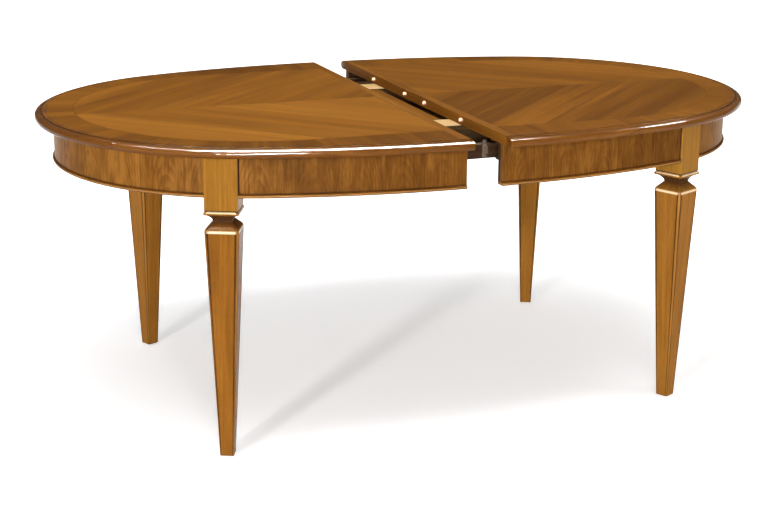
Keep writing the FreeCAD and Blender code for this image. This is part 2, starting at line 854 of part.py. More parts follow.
def add_half(body, side_x, outward, seam_holes, other_screws, panel_holes, under_screws):
    """Everything that the two halves share, for one half."""
    def place(shape, side_y=1):
        return mirrored(shape, side_x, side_y)

    screws = []
    for _, side_y in SIDES:
        screws += [place(screw, side_y) for screw in runner_screws(outward)]
    keep(body + "_top_panel", body, without(place(top_panel()), screws + other_screws + panel_holes))
    edging = [without(place(length), seam_holes) for length in cut_edging()]
    keep(body + "_cut_edging", body, Part.makeCompound(edging))
    keep(body + "_edge_moulding", body, place(edge_moulding()))
    for part_name, solids in (("apron", apron_pieces(apron_ring())), ("bead", apron_pieces(bead_ring()))):
        for place_name, solid in zip(("front", "end", "back"), solids):
            keep("_".join((body, part_name, place_name)), body, place(solid))
    bolts = [at_leg(bolt) for bolt in leg_bolts()]
    shaped_leg = without(at_leg(leg()), bolts)
    for place_name, side_y in SIDES:
        keep("_".join((body, "leg", place_name)), body, place(shaped_leg, side_y))
        keep("_".join((body, "leg_brace", place_name)), body, place(leg_brace(), side_y))
        slide = without(mirrored(runner(outward), side_x, side_y), screws + under_screws)
        keep("_".join((body, "slide", place_name)), body, slide)
    keep(body + "_leg_bolts", body, Part.makeCompound([place(b, s) for b in bolts for _, s in SIDES]))
    keep(body + "_glides", body, Part.makeCompound([place(at_leg(glide()), s) for _, s in SIDES]))
    keep(body + "_end_batten", body, place(end_batten()))
    dogs = [place(runner_dog(outward), s) for _, s in SIDES]
    keep(body + "_slide_dogs", body, Part.makeCompound(dogs))
    keep(body + "_wood_screws", body, Part.makeCompound(screws + other_screws + under_screws))


def add_left_half():
    bush_holes = [rod(bush_radius, V(0, y, dowel_z), V(-bush_depth, y, dowel_z)) for y in dowel_line()]
    screws = [mirrored(screw, 1, s) for screw in rail_screws() for _, s in SIDES]
    under_screws = [mirrored(screw, 1, s) for screw in board_screws() for _, s in SIDES]
    add_half("left", -1, 1, bush_holes, screws, [], under_screws)
    bushes = [mirrored(leaf_bush(y), -1, 1) for y in dowel_line()]
    keep("leaf_bushes", "left", Part.makeCompound(bushes))
    keep("seam_lip", "left", seam_lip())
    keep("closing_board", "left", without(closing_board(), under_screws))
    bearers = [without(mirrored(board_bearer(), 1, s), under_screws) for _, s in SIDES]
    keep("board_bearers", "left", Part.makeCompound(bearers))
    for place_name, side_y in SIDES:
        rail = mirrored(aligning_rail(), 1, side_y)
        tools = screws + (catch_screws() if side_y < 0 else [])
        keep("aligning_rail_" + place_name, "left", without(rail, tools))
    keep("catch_strap", "left", without(catch_strap(), catch_screws() + [catch_pivot()]))
    keep("catch_pivot", "left", catch_pivot())
    keep("catch_screws", "left", Part.makeCompound(catch_screws()))
    keep("catch_hook", "left", catch_hook())


def add_right_half():
    dowels = [leaf_dowel(y) for y in dowel_line()]
    screws = [mirrored(guide_screw(), 1, s) for _, s in SIDES]
    add_half("right", 1, -1, dowels, screws, keeper_screws(), [])
    keep("leaf_dowels", "right", Part.makeCompound(dowels))
    keep("seam_batten", "right", seam_batten())
    for place_name, side_y in SIDES:
        guide = rail_guide().cut(guide_screw()).cut(guide_recess())
        keep("rail_guide_" + place_name, "right", mirrored(one_solid(guide), 1, side_y))
    keep("catch_keeper", "right", without(catch_keeper(), keeper_screws()))
    keep("keeper_screw", "right", keeper_screws()[0])


def add_core():
    for place_name, side_y in SIDES:
        keep("core_slide_" + place_name, "core", mirrored(core_runner(), 1, side_y))
        keep("core_lugs_" + place_name, "core", mirrored(core_lugs(), 1, side_y))


add_left_half()
add_right_half()
add_core()

os.makedirs("parts", exist_ok=True)
for name, shape in NODES.items():
    shape.exportStep("parts/" + name + ".step")
print(len(NODES), "nodes")
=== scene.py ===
import math

import bpy
from mathutils import Matrix, Vector


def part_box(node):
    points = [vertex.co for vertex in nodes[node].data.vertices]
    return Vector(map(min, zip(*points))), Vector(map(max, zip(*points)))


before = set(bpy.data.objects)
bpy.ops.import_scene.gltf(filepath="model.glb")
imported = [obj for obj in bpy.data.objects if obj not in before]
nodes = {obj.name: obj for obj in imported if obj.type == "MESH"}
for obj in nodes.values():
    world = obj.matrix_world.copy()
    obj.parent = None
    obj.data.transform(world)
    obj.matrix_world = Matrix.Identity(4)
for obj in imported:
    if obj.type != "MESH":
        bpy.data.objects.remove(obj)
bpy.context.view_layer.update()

# ---- sizes ---------------------------------------------------------------------------
half_opening = 0.045
end_radius = 0.550
end_centre = 0.350           # of the rim's end arc, from the cut
half_width = 0.600
side_swell = half_width - end_radius
side_radius = (end_centre ** 2 + half_width ** 2 - end_radius ** 2) / (2 * side_swell)
side_offset = side_radius - half_width
apron_inset = 0.045
apron_thickness = 0.025
table_height = 0.760
step_inset = 0.018           # step on the top, in from the rim
underside = 0.736
field_radius = 0.465         # veneered field inside the border
field_centre = 0.340
strip_along = 0.160          # veneer strips, measured on the centreline
strip_start = 0.135
border_piece = 0.230         # pieces of the crossbanded border
rim_length = 0.420           # lengths of wood in the rim and the beads
leaf_width = 0.105           # flat-sawn leaves round the apron
leaf_heart = 0.600           # height at which their arches turn
leaf_slope = 0.22            # how slowly an arch opens along the leaf
leaf_core = 0.012            # half the width of the open middle
ring_pitch = 0.0062
plinth_top = 0.604           # heights on the leg
plinth_bottom = 0.596
neck_bottom = 0.579
shoulder_bend = 0.563
shaft_top = 0.555
block_start = 0.600          # the block's own colour comes in between these two
block_full = 0.606
bead_top = 0.646             # moulding under the apron
bead_crown = 0.6415
bead_crown_half = 0.003
half_block = 0.039
arris_round = 0.0012         # eased edges of all wood
crevice_reach = 0.008        # soil and painted shade lie this near to an inner corner
leg_turn = math.radians(25)
leg_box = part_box("right_leg_back")
leg_x = (leg_box[0][0] + leg_box[1][0]) / 2
leg_y = (leg_box[0][1] + leg_box[1][1]) / 2
outer_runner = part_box("left_slide_back")[0][1]
inner_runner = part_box("right_slide_back")[0][1]

# ---- colours -------------------------------------------------------------------------
WHITE = (1.0, 1.0, 1.0, 1.0)
FLOOR_PAINT = (0.92, 0.92, 0.93, 1.0)
LACQUER_TINT = (1.0, 0.74, 0.42, 1.0)
WOOD_DARK = (0.120, 0.042, 0.005)
WOOD_MID = (0.225, 0.083, 0.009)
WOOD_LIGHT = (0.330, 0.130, 0.016)
LEG_MID = (0.238, 0.090, 0.011)
LEG_LIGHT = (0.350, 0.146, 0.022)
APRON = ((0.090, 0.032, 0.006), (0.150, 0.056, 0.009), (0.260, 0.108, 0.019))
MOULDING = ((0.085, 0.028, 0.004), (0.135, 0.046, 0.006), (0.205, 0.076, 0.011))
BEECH = ((0.48, 0.29, 0.11), (0.72, 0.49, 0.22), (0.84, 0.63, 0.34))
EDGING = ((0.11, 0.039, 0.006), (0.20, 0.074, 0.009), (0.29, 0.115, 0.016))
# near-black wood within the table: a dark stain that is also painted shade
BLACK_STAIN_AND_SHADE = ((0.016, 0.007, 0.004), (0.036, 0.017, 0.009), (0.070, 0.035, 0.018))
RUBBED_AND_HIGHLIGHT = (0.48, 0.24, 0.07)
SOIL_AND_SHADE = (0.030, 0.011, 0.004)
GROOVE_DARK = (0.030, 0.010, 0.004)
HOLLOW_SHADE = (0.045, 0.018, 0.007)
JOINT_STAIN_AND_SHADE = (0.018, 0.007, 0.003)
INSIDE_SHADE = (0.030, 0.013, 0.006)
RUNNER_SHADE = (0.030, 0.014, 0.006)
VENEER_JOINT = (0.07, 0.025, 0.006)
LEAF_SEAM = (0.08, 0.030, 0.006)
BORDER_TINT = (0.86, 0.84, 0.80)
BLOCK_TINT = (0.90, 1.04, 0.85)
BEAD_HIGHLIGHT = (0.55, 0.29, 0.09)
SHAFT_HIGHLIGHT = (0.72, 0.44, 0.17)
HIGHLIGHT_LINE = (0.92, 0.70, 0.42)
STEEL = (0.055, 0.040, 0.030)
BRASS = (0.15, 0.08, 0.045)
BLACK_PLASTIC = (0.05, 0.045, 0.04)


# ---- materials -----------------------------------------------------------------------
class Graph:
    """Short ways to write one material's nodes."""

    def __init__(self, name):
        self.material = bpy.data.materials.new(name)
        self.material.use_nodes = True
        self.tree = self.material.node_tree
        self.shader = self.tree.nodes["Principled BSDF"]

    def node(self, kind, **settings):
        made = self.tree.nodes.new(kind)
        for key, value in settings.items():
            setattr(made, key, value)
        return made

    def feed(self, socket, value):
        if isinstance(value, bpy.types.NodeSocket):
            self.tree.links.new(value, socket)
        else:
            socket.default_value = value

    def math(self, operation, *values):
        made = self.node("ShaderNodeMath", operation=operation)
        for socket, value in zip(made.inputs, values):
            self.feed(socket, value)
        return made.outputs[0]

    def length(self, first, second):
        """Root of the sum of two squares."""
        squares = (self.math("MULTIPLY", value, value) for value in (first, second))
        return self.math("SQRT", self.math("ADD", *squares))

    def vector(self, x, y, z):
        made = self.node("ShaderNodeCombineXYZ")
        for socket, value in zip(made.inputs, (x, y, z)):
            self.feed(socket, value)
        return made.outputs[0]

    def place(self):
        """x, y, z in the frame, carried along by the body."""
        coordinates = self.node("ShaderNodeTexCoord").outputs["Object"]
        split = self.node("ShaderNodeSeparateXYZ")
        self.feed(split.inputs[0], coordinates)
        return split.outputs[0], split.outputs[1], split.outputs[2]

    def noise(self, vector, scale=1.0, detail=2.0, roughness=0.5, distortion=0.0):
        made = self.node("ShaderNodeTexNoise")
        self.feed(made.inputs["Vector"], vector)
        self.feed(made.inputs["Scale"], scale)
        self.feed(made.inputs["Detail"], detail)
        self.feed(made.inputs["Roughness"], roughness)
        self.feed(made.inputs["Distortion"], distortion)
        return made.outputs["Fac"]

    def chance(self, number, seed):
        """Random number from 0 to 1 for each whole number."""
        made = self.node("ShaderNodeTexWhiteNoise", noise_dimensions="3D")
        self.feed(made.inputs["Vector"], self.vector(number, seed, 0.0))
        return made.outputs["Value"]

    def span(self, value, low, high, to_low=0.0, to_high=1.0):
        """The value's way from low to high, as a share or between two results; held at the ends."""
        made = self.node("ShaderNodeMapRange")
        for socket, entry in zip(made.inputs, (value, low, high, to_low, to_high)):
            self.feed(socket, entry)
        return made.outputs[0]

    def blend(self, share, first, second, mode="MIX"):
        made = self.node("ShaderNodeMix", data_type="RGBA", blend_type=mode)
        self.feed(made.inputs["Factor"], share)
        colour_inputs = [entry for entry in made.inputs if entry.type == "RGBA"]
        for socket, value in zip(colour_inputs, (first, second)):
            self.feed(socket, value if isinstance(value, bpy.types.NodeSocket) else (*value, 1.0))
        return [entry for entry in made.outputs if entry.type == "RGBA"][0]

    def bump(self, height, distance, normal=None):
        made = self.node("ShaderNodeBump")
        self.feed(made.inputs["Height"], height)
        made.inputs["Distance"].default_value = distance
        if normal:
            self.feed(made.inputs["Normal"], normal)
        self.feed(self.shader.inputs["Normal"], made.outputs[0])


def fibres(g, along, across, depth, seed):
    """Bands, growth lines and pores of wood, from metres along and across its grain."""
    shifted = g.math("ADD", along, seed)

    def figure(lengthwise, sideways):
        return g.vector(g.math("MULTIPLY", shifted, lengthwise),
                        g.math("MULTIPLY", across, sideways),
                        g.math("MULTIPLY", depth, sideways))

    band = g.noise(figure(1.0, 14.0), detail=3.0, distortion=0.35)
    lines = g.noise(figure(1.8, 95.0), detail=4.0, roughness=0.62)
    pores = g.span(g.noise(figure(26.0, 800.0)), 0.36, 0.47, 1.0, 0.0)
    return band, lines, pores


def sawn_leaf(g, along, across, seed):
    """Flat-sawn leaves laid side by side: arched lines, open in the middle and close at the sides.

    Gives the level, the fine growth lines and the seams between leaves.
    """
    place = g.math("DIVIDE", across, leaf_width)
    number = g.math("FLOOR", place)
    luck = g.chance(number, seed)

    def figure(lengthwise, sideways):
        return g.vector(g.math("MULTIPLY", along, lengthwise),
                        g.math("MULTIPLY", across, sideways), seed)

    offset = g.math("SUBTRACT", place, number)
    offset = g.math("SUBTRACT", offset, g.span(luck, 0.0, 1.0, 0.38, 0.62))
    wobble = g.span(g.noise(figure(16.0, 7.0)), 0.0, 1.0, -0.008, 0.008)
    side = g.math("ADD", g.math("MULTIPLY", offset, leaf_width), wobble)
    rise = g.math("MULTIPLY", g.math("SUBTRACT", along, leaf_heart), leaf_slope)
    rise = g.math("ADD", g.math("ABSOLUTE", rise), leaf_core)
    ring = g.math("FRACT", g.math("DIVIDE", g.length(side, rise), ring_pitch))
    late = g.math("MULTIPLY", g.span(ring, 0.25, 0.85), g.span(ring, 0.85, 1.0, 1.0, 0.0))
    strong = g.noise(g.vector(g.math("MULTIPLY", across, 60.0),
                              g.math("MULTIPLY", along, 8.0), seed))
    late = g.math("MULTIPLY", late, g.span(strong, 0.40, 0.62))
    mottle = g.noise(figure(14.0, 40.0), detail=4.0, roughness=0.55, distortion=0.2)
    fine = g.noise(figure(9.0, 260.0), detail=3.0)
    level = g.math("ADD", g.math("MULTIPLY", mottle, 0.62), g.math("MULTIPLY", fine, 0.38))
    level = g.math("SUBTRACT", level, g.math("MULTIPLY", late, 0.10))
    level = g.math("ADD", level, g.math("MULTIPLY", g.math("SUBTRACT", luck, 0.5), 0.12))
    to_next = g.math("SUBTRACT", g.math("ADD", number, 1.0), place)
    seam = g.math("MINIMUM", g.math("SUBTRACT", place, number), to_next)
    return level, fine, g.span(seam, 0.004, 0.012, 0.5, 0.0)


def wood_finish(g, colour, lines, pores, roughness, specular, coat=0.0, relief=0.00003,
                dirt_and_shade=0.9, rub_and_highlight=0.35):
    """Satin lacquer on eased arrises, which wear lighter and carry a painted highlight, with soil
    and painted shade in the crevices.

    A coat weight that the material has already linked stays.
    """
    shader = g.shader
    easing = g.node("ShaderNodeBevel", samples=4)
    easing.inputs["Radius"].default_value = arris_round
    flat = g.node("ShaderNodeNewGeometry").outputs["Normal"]
    match = g.node("ShaderNodeVectorMath", operation="DOT_PRODUCT")
    g.feed(match.inputs[0], easing.outputs[0])
    g.feed(match.inputs[1], flat)
    # arrises worn lighter, partly a painted highlight
    rubbed_and_highlight = g.span(match.outputs["Value"], 0.97, 0.80, 0.0, rub_and_highlight)
    rubbed_and_highlight = g.math("MULTIPLY", rubbed_and_highlight, g.span(lines, 0.35, 0.65))
    colour = g.blend(rubbed_and_highlight, colour, RUBBED_AND_HIGHLIGHT)
    # inner corners darkened by soil and painted shade
    crevice = g.node("ShaderNodeAmbientOcclusion", samples=6)
    crevice.inputs["Distance"].default_value = crevice_reach
    soil_and_shade = g.span(crevice.outputs["AO"], 0.25, 0.80, dirt_and_shade, 0.0)
    g.feed(shader.inputs["Base Color"], g.blend(soil_and_shade, colour, SOIL_AND_SHADE))
    g.feed(shader.inputs["Roughness"], g.span(lines, 0.3, 0.7, roughness - 0.05, roughness + 0.06))
    shader.inputs["Specular IOR Level"].default_value = specular
    shader.inputs["Specular Tint"].default_value = LACQUER_TINT
    if not shader.inputs["Coat Weight"].is_linked:
        shader.inputs["Coat Weight"].default_value = coat
    shader.inputs["Coat Roughness"].default_value = 0.06
    g.feed(shader.inputs["Coat Normal"], easing.outputs[0])
    height = g.math("SUBTRACT", g.math("MULTIPLY", lines, 0.5), g.math("MULTIPLY", pores, 0.6))
    g.bump(height, relief, easing.outputs[0])
    return g.material


def wood_colour(g, band, lines, pores, dark, mid, light, tone):
    """Colour from the figure; tone from 0 to 1 makes a whole strip darker or lighter."""
    level = g.math("ADD", g.math("MULTIPLY", band, 0.42), g.math("MULTIPLY", lines, 0.58))
    level = g.math("ADD", level, g.math("MULTIPLY", g.math("SUBTRACT", tone, 0.5), 0.22))
    low = g.blend(g.span(level, 0.28, 0.50), dark, mid)
    both = g.blend(g.span(level, 0.50, 0.72), low, light)
    return g.blend(g.math("MULTIPLY", pores, 0.30), both, dark)


def straight_wood(name, axis, colours, roughness, specular):
    """Wood with its grain along one axis of the frame."""
    g = Graph(name)
    x, y, z = g.place()
    order = {"X": (x, y, z), "Y": (y, x, z)}[axis]
    band, lines, pores = fibres(g, *order, 0.0)
    colour = wood_colour(g, band, lines, pores, *colours, 0.5)
    return wood_finish(g, colour, lines, pores, roughness, specular)


def out_from_oval(g):
    """Metres out from the rim, from whichever of its arcs the point belongs to."""
    x, y, _ = g.place()
    u = g.math("SUBTRACT", g.math("ABSOLUTE", x), half_opening)
    v = g.math("ABSOLUTE", y)
    past = g.math("SUBTRACT", u, end_centre)
    end = g.length(past, v)
    side = g.length(u, g.math("ADD", v, side_offset))
    # the side arc ends where the line between the two centres crosses the rim
    on_end = g.math("GREATER_THAN", g.math("MULTIPLY", past, side_offset),
                    g.math("MULTIPLY", v, end_centre))
    end = g.math("MULTIPLY", g.math("SUBTRACT", end, end_radius), on_end)
    on_side = g.math("SUBTRACT", 1.0, on_end)
    side = g.math("MULTIPLY", g.math("SUBTRACT", side, side_radius), on_side)
    return g.math("ADD", end, side)


def quarter_number(g, side, back):
    """A number for each quarter of the table, far enough apart to move its figure."""
    return g.math("ADD", g.math("MULTIPLY", side, 20.0), g.math("MULTIPLY", back, 50.0))


class OvalPlace:
    """Where a point lies on the table, in metres.

    u is from the cut, v from the centre line, z the height, reach the distance from the end
    arc's centre, and way the distance along the oval.  side and back are the signs of the half
    and of its back, and quarter is a number for the quarter of the table.
    """

    def __init__(self, g, centre):
        x, y, self.z = g.place()
        self.side = g.math("SIGN", x)
        self.back = g.math("SIGN", y)
        self.u = g.math("SUBTRACT", g.math("ABSOLUTE", x), half_opening)
        self.v = g.math("ABSOLUTE", y)
        beyond = g.math("SUBTRACT", self.u, centre)
        past = g.math("MAXIMUM", beyond, 0.0)
        self.reach = g.length(past, self.v)
        turn = g.math("MULTIPLY", g.math("ARCTAN2", past, self.v), field_radius)
        self.way = g.math("ADD", g.math("MINIMUM", beyond, 0.0), turn)
        self.quarter = quarter_number(g, self.side, self.back)


def round_the_leg(g):
    """Metres from the leg's middle, along the rim away from the cut and out from the rim."""
    x, y, _ = g.place()
    dx = g.math("SUBTRACT", g.math("ABSOLUTE", x), leg_x)
    dy = g.math("SUBTRACT", g.math("ABSOLUTE", y), leg_y)
    cosine, sine = math.cos(leg_turn), math.sin(leg_turn)
    along = g.math("SUBTRACT", g.math("MULTIPLY", dx, cosine), g.math("MULTIPLY", dy, sine))
    out = g.math("ADD", g.math("MULTIPLY", dx, sine), g.math("MULTIPLY", dy, cosine))
    return along, out


def border_veneer(g):
    """Colour and growth lines of the crossbanded border, and metres outside its inner line."""
    spot = OvalPlace(g, field_centre)
    piece = g.math("FLOOR", g.math("DIVIDE", spot.way, border_piece))
    piece_tone = g.chance(g.math("ADD", piece, spot.quarter), 11.0)
    depth = g.math("MULTIPLY", piece_tone, 3.0)
    band, lines, pores = fibres(g, spot.reach, spot.way, depth, 2.0)
    towards_end = g.span(spot.u, 0.3, 0.7, -0.30, 0.22)
    tone = g.math("ADD", g.math("MULTIPLY", piece_tone, 0.5), towards_end)
    tone = g.math("ADD", tone, g.math("MULTIPLY", spot.side, 0.12))
    colour = wood_colour(g, band, lines, pores, WOOD_DARK, WOOD_MID, WOOD_LIGHT, tone)
    colour = g.blend(0.4, colour, BORDER_TINT, "MULTIPLY")
    return colour, lines, g.math("SUBTRACT", spot.reach, field_radius)


def veneered_top():
    """Diamond of veneer strips in a crossbanded border."""
    g = Graph("veneered_top")
    spot = OvalPlace(g, field_centre)
    diagonal = math.sqrt(0.5)
    across = g.math("ADD", spot.u, spot.v)
    strip = g.math("FLOOR", g.math("DIVIDE", g.math("SUBTRACT", across, strip_start), strip_along))
    along = g.math("MULTIPLY", g.math("SUBTRACT", spot.u, spot.v), diagonal)
    across = g.math("MULTIPLY", across, diagonal)
    number = g.math("ADD", strip, spot.quarter)
    by_quarter = g.math("MULTIPLY", g.math("MULTIPLY", spot.side, spot.back), 0.28)
    tone = g.math("ADD", g.chance(number, 3.0), by_quarter)
    tone = g.math("SUBTRACT", tone, g.math("MULTIPLY", spot.side, 0.22))
    depth = g.math("MULTIPLY", g.chance(number, 7.0), 5.0)
    band, lines, pores = fibres(g, along, across, depth, 0.0)
    colour = wood_colour(g, band, lines, pores, WOOD_DARK, WOOD_MID, WOOD_LIGHT, tone)
    border_colour, border_lines, outside = border_veneer(g)
    in_border = g.math("GREATER_THAN", outside, 0.0)
    colour = g.blend(in_border, colour, border_colour)
    # hairlines where veneers meet
    joint = g.math("MAXIMUM", g.span(g.math("ABSOLUTE", outside), 0.0004, 0.0014, 1.0, 0.0),
                   g.span(spot.v, 0.0002, 0.0009, 0.6, 0.0))
    colour = g.blend(g.math("MULTIPLY", joint, 0.6), colour, VENEER_JOINT)
    lines = g.math("ADD", g.math("MULTIPLY", lines, g.math("SUBTRACT", 1.0, in_border)),
                   g.math("MULTIPLY", border_lines, in_border))
    return wood_finish(g, colour, lines, pores, 0.34, 0.005, relief=0.00006, dirt_and_shade=0.0)


def apron_veneer():
    """Upright flat-sawn leaves round the apron, with painted shade on its inner face."""
    g = Graph("veneered_apron")
    spot = OvalPlace(g, end_centre)
    level, lines, seam = sawn_leaf(g, spot.z, g.math("ADD", spot.way, spot.quarter), 5.0)
    level = g.math("ADD", level, g.span(spot.u, 0.46, 0.60, -0.07, 0.070))
    # painted light: the ends of the apron, most the right one, are made lighter
    painted_light_at_ends = g.math("MULTIPLY", g.math("ADD", spot.side, 1.4),
                       g.span(spot.u, 0.60, 0.75, 0.01, 0.07))
    level = g.math("ADD", level, painted_light_at_ends)
    dark, mid, light = APRON
    low = g.blend(g.span(level, 0.28, 0.48), dark, mid)
    colour = g.blend(g.span(level, 0.48, 0.68), low, light)
    colour = g.blend(seam, colour, LEAF_SEAM)
    # dark joints: next to the leg blocks, towards the cut, with painted shade of the proud block,
    # and over the bead
    along, _ = round_the_leg(g)
    beside = g.math("MULTIPLY", g.span(along, -half_block - 0.0042, -half_block - 0.0032),
                    g.math("LESS_THAN", along, 0.0))
    over = g.span(spot.z, bead_top + 0.0035, bead_top + 0.0015)
    joint = g.math("MAXIMUM", beside, g.math("MULTIPLY", over, 0.6))
    colour = g.blend(joint, colour, JOINT_STAIN_AND_SHADE)
    # painted shade on the apron's inner face
    inside_shade = g.math("LESS_THAN", out_from_oval(g), -apron_inset - 0.5 * apron_thickness)
    colour = g.blend(g.math("MULTIPLY", inside_shade, 0.9), colour, INSIDE_SHADE)
    return wood_finish(g, colour, lines, 0.0, 0.32, 0.012)


def moulding_wood():
    """Grain along the rim and the beads, in lengths; the rim's top face is the border's veneer."""
    g = Graph("moulding_wood")
    spot = OvalPlace(g, end_centre)
    length = g.math("ADD", g.math("FLOOR", g.math("DIVIDE", spot.way, rim_length)), spot.quarter)
    tone = g.chance(length, 9.0)
    band, lines, pores = fibres(g, spot.way, spot.reach, spot.z, 1.3)
    colour = wood_colour(g, band, lines, pores, *MOULDING, tone)
    # painted highlight along the bead under the apron
    crown = g.math("MULTIPLY", g.span(spot.z, bead_crown - bead_crown_half, bead_crown),
                   g.span(spot.z, bead_crown + bead_crown_half, bead_crown))
    colour = g.blend(g.math("MULTIPLY", crown, 0.5), colour, BEAD_HIGHLIGHT)
    border_colour, _, _ = border_veneer(g)
    on_top = g.math("GREATER_THAN", spot.z, table_height - 0.0006)
    colour = g.blend(on_top, colour, border_colour)
    # darker at the foot of the step, most at the two ends
    out = out_from_oval(g)
    step = g.math("MULTIPLY", g.math("GREATER_THAN", out, -step_inset - 0.0003),
                  g.math("LESS_THAN", out, -step_inset + 0.0025))
    step = g.math("MULTIPLY", step, g.math("LESS_THAN", spot.z, table_height - 0.0002))
    step = g.math("MULTIPLY", step, g.span(spot.u, 0.30, 0.60, 0.15, 0.9))
    colour = g.blend(step, colour, GROOVE_DARK)
    # the gloss ends at the step and at the underside
    below_step = g.span(spot.z, table_height - 0.0008, table_height - 0.0016, 0.0, 0.16)
    above_underside = g.span(spot.z, underside + 0.0015, underside + 0.0045)
    g.feed(g.shader.inputs["Coat Weight"], g.math("MULTIPLY", below_step, above_underside))
    return wood_finish(g, colour, lines, pores, 0.16, 0.02, relief=0.00001, dirt_and_shade=0.0, rub_and_highlight=0.2)


def leg_wood():
    """Upright grain, each leg with its own figure, darkened grooves beside its beads, and painted
    light, shade and highlights.
    """
    g = Graph("leg_wood")
    x, y, z = g.place()
    corner = quarter_number(g, g.math("SIGN", x), g.math("SIGN", y))
    shift = g.math("MULTIPLY", g.chance(corner, 13.0), 6.0)
    band, lines, pores = fibres(g, z, g.math("ADD", x, shift), y, 0.0)
    # painted shade and light: the front-left leg, nearest the key lamp, is made darker and the
    # other legs lighter
    painted_shade_front_left = g.math("LESS_THAN", g.math("MAXIMUM", x, y), 0.0)
    tone = g.math("ADD", g.span(painted_shade_front_left, 0.0, 1.0, 0.95, 0.25),
                  g.span(z, block_start, block_full, 0.0, 0.5))
    colour = wood_colour(g, band, lines, pores, WOOD_DARK, LEG_MID, LEG_LIGHT, tone)
    colour = g.blend(g.span(z, block_start, block_full, 0.0, 0.6), colour, BLOCK_TINT, "MULTIPLY")
    # painted shade in the hollow between plinth and shoulder
    hollow = g.math("MULTIPLY", g.span(z, plinth_bottom, plinth_bottom - 0.002),
                    g.span(z, shoulder_bend - 0.004, neck_bottom))
    colour = g.blend(g.math("MULTIPLY", hollow, 0.92), colour, HOLLOW_SHADE)
    along, out = round_the_leg(g)
    along, out = g.math("ABSOLUTE", along), g.math("ABSOLUTE", out)
    # 1 at the corner of the shaft, 0 at the middle of a face
    corner_share = g.math("DIVIDE", g.math("MINIMUM", along, out), g.math("MAXIMUM", along, out))
    on_shaft = g.math("LESS_THAN", z, shaft_top + 0.004)
    groove = g.math("MULTIPLY", g.span(corner_share, 0.745, 0.800),
                    g.span(corner_share, 0.895, 0.860))
    groove = g.math("MULTIPLY", groove, on_shaft)
    colour = g.blend(g.math("MULTIPLY", groove, 0.85), colour, GROOVE_DARK)
    # painted highlight on the corners of the shaft's beads
    crown = g.math("MULTIPLY", g.span(corner_share, 0.92, 0.97), on_shaft)
    colour = g.blend(g.math("MULTIPLY", crown, 0.08), colour, SHAFT_HIGHLIGHT)
    # painted highlights round the head of the shaft and the plinth, and a dark line over the plinth
    head = g.math("MULTIPLY", g.span(z, shaft_top - 0.002, shaft_top),
                  g.span(z, shaft_top + 0.006, shaft_top + 0.003))
    brow = g.math("MULTIPLY", g.span(z, plinth_top - 0.0036, plinth_top - 0.0024),
                  g.math("LESS_THAN", z, plinth_top + 0.001))
    painted_highlight = g.math("MULTIPLY", g.math("MAXIMUM", head, brow),
                    g.math("GREATER_THAN", 0.86, corner_share))
    colour = g.blend(g.math("MULTIPLY", painted_highlight, 0.8), colour, HIGHLIGHT_LINE)
    above = g.math("MULTIPLY", g.math("GREATER_THAN", z, plinth_top + 0.001),
                   g.math("LESS_THAN", z, plinth_top + 0.004))
    colour = g.blend(g.math("MULTIPLY", above, 0.85), colour, GROOVE_DARK)
    return wood_finish(g, colour, lines, pores, 0.18, 0.02, 0.03, relief=0.00001, rub_and_highlight=0.3)


def runner_beech():
    """Waxed beech; the outermost runner of each set and the innermost side are darkened with
    painted shade.
    """
    g = Graph("slide_beech")
    x, y, z = g.place()
    band, lines, pores = fibres(g, x, y, z, 0.0)
    colour = wood_colour(g, band, lines, pores, *BEECH, 0.5)
    # painted shade on the outer runners and the innermost sides
    y = g.math("ABSOLUTE", y)
    runner_shaded = g.math("MAXIMUM", g.math("GREATER_THAN", y, outer_runner),
                     g.math("LESS_THAN", y, inner_runner + 0.0005))
    colour = g.blend(g.math("MULTIPLY", runner_shaded, 0.96), colour, RUNNER_SHADE)
    return wood_finish(g, colour, lines, pores, 0.6, 0.0, dirt_and_shade=0.0)


def metal(name, colour, roughness):
    """Dulled metal with fine scratches."""
    g = Graph(name)
    place = g.vector(*g.place())
    wear = g.noise(place, scale=900.0, detail=3.0)
    stain = g.noise(place, scale=120.0)
    worn = [part * 0.72 for part in colour]
    g.feed(g.shader.inputs["Base Color"], g.blend(g.span(stain, 0.35, 0.7), colour, worn))
    g.feed(g.shader.inputs["Roughness"], g.span(wear, 0.3, 0.7, roughness * 0.75, roughness * 1.3))
    g.shader.inputs["Metallic"].default_value = 1.0
    g.bump(wear, 0.00004)
    return g.material


def plastic(name, colour):
    """Matt plastic with a fine pitted skin."""
    g = Graph(name)
    pits = g.noise(g.vector(*g.place()), scale=1500.0)
    paler = [part * 1.4 for part in colour]
    g.feed(g.shader.inputs["Base Color"], g.blend(pits, colour, paler))
    g.feed(g.shader.inputs["Roughness"], g.span(pits, 0.3, 0.7, 0.5, 0.65))
    g.bump(pits, 0.00005)
    return g.material


MATERIALS = {
    "veneered_top": veneered_top(),
    "veneered_apron": apron_veneer(),
    "moulding_wood": moulding_wood(),
    "leg_wood": leg_wood(),
    "frame_wood": straight_wood("frame_wood", "Y", BEECH, 0.55, 0.03),
    "slide_beech": runner_beech(),
    "lip_wood": straight_wood("lip_wood", "Y", EDGING, 0.42, 0.005),
    "edging_wood": straight_wood("edging_wood", "Y", EDGING, 0.42, 0.005),
    "dark_wood": straight_wood("dark_wood", "X", BLACK_STAIN_AND_SHADE, 0.6, 0.02),
    "steel": metal("steel", STEEL, 0.40),
    "brass": metal("brass", BRASS, 0.50),
    "glide_plastic": plastic("glide_plastic", BLACK_PLASTIC),
}
for node in nodes.values():
    for material_slot in node.material_slots:
        material_slot.material = MATERIALS[material_slot.material.name.split(".")[0]]


